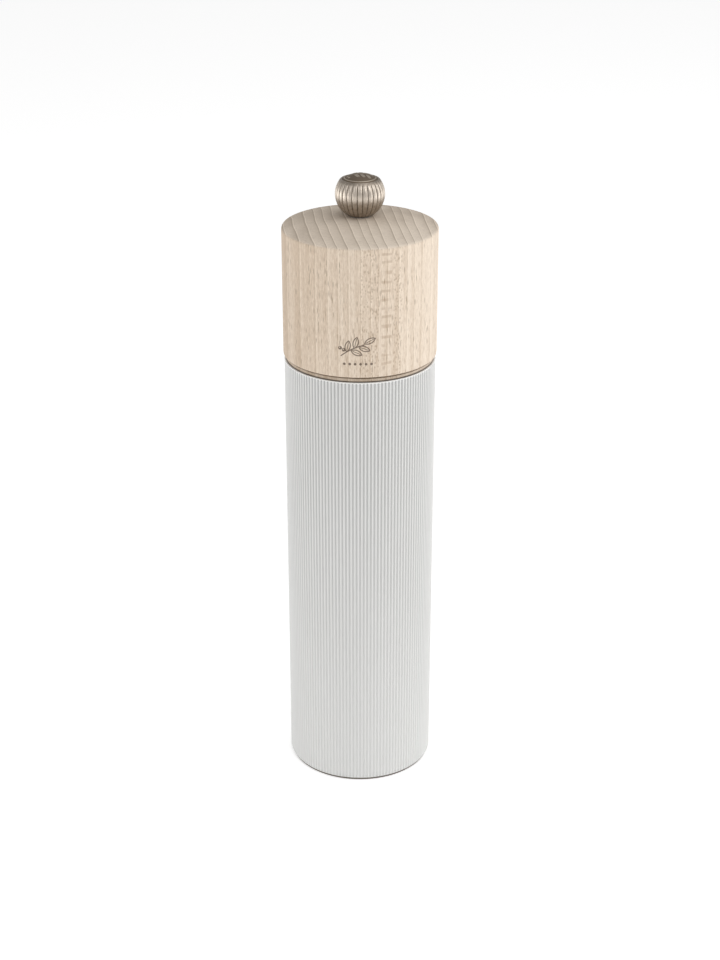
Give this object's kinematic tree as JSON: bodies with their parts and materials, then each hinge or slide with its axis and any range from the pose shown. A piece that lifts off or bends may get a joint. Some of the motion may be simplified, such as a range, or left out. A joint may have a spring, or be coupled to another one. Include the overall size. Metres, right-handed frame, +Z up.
{
  "type": "pepper mill",
  "caption": "Tall manual pepper mill: turning wooden head over a ribbed white sleeve, ball knob for fineness, conical grinding mechanism inside.",
  "frame": {"origin": "centre of the underside, where the mill stands", "axes": "+Z up along the mill's axis, towards the knob; -Y is the side that faces the viewer"},
  "size_m": [0.0528, 0.0528, 0.2208],
  "materials": {
    "beech": "fine sanded, unvarnished beech",
    "white_lacquer": "satin white lacquer on ribbed aluminium",
    "cast_knob": "antiqued cast metal, polished ribs",
    "knob_disc": "darkened cast disc",
    "brass": "machined",
    "steel": "machined and zinc plated",
    "hardened_steel": "case-hardened, blackened",
    "spring_steel": "drawn wire",
    "nylon": "moulded",
    "dark_plastic": "moulded, fine texture"
  },
  "bodies": {
    "body": {"foot_ring": "dark_plastic", "core": "beech", "sleeve": "white_lacquer", "neck_ring": "nylon", "housing": "steel", "housing_screws": "steel", "stator": "hardened_steel", "bridge": "steel", "bridge_screws": "steel"},
    "drive": {"guide_bush": "nylon", "spring": "spring_steel"},
    "spindle": {"shaft": "steel", "rotor": "hardened_steel", "rotor_washer": "steel", "retaining_clip": "spring_steel"},
    "head": {"head": "beech", "head_ferrule": "steel", "drive_plate": "steel", "plate_screws": "steel"},
    "knob_washer": {"knob_washer": "steel"},
    "knob": {"knob": "cast_knob", "knob_insert": "brass", "knob_disc": "knob_disc"}
  },
  "joints": [
    {"name": "head_turn", "type": "hinge", "parent": "body", "child": "drive", "pos_m": [0, 0, 0.03], "axis": [0, 0, 1], "continuous": true},
    {"name": "spindle_lift", "type": "slide", "parent": "drive", "child": "spindle", "axis": [0, 0, 1], "range_m": [-0.0004, 0.0006], "deforming": ["spring"]},
    {"name": "head_lift", "type": "slide", "parent": "drive", "child": "head", "axis": [0, 0, 1], "range_m": [0, 0.07]},
    {"name": "knob_lift", "type": "slide", "parent": "head", "child": "knob_washer", "axis": [0, 0, 1], "range_m": [0, 0.012]},
    {"name": "knob_turn", "type": "hinge", "parent": "knob_washer", "child": "knob", "pos_m": [0, 0, 0.214], "axis": [0, 0, 1], "range_deg": [-216, 144]}
  ],
  "couplings": [
    {"joint": "knob_turn", "follows": "spindle_lift", "rad_per_m": -6283.2}
  ]
}
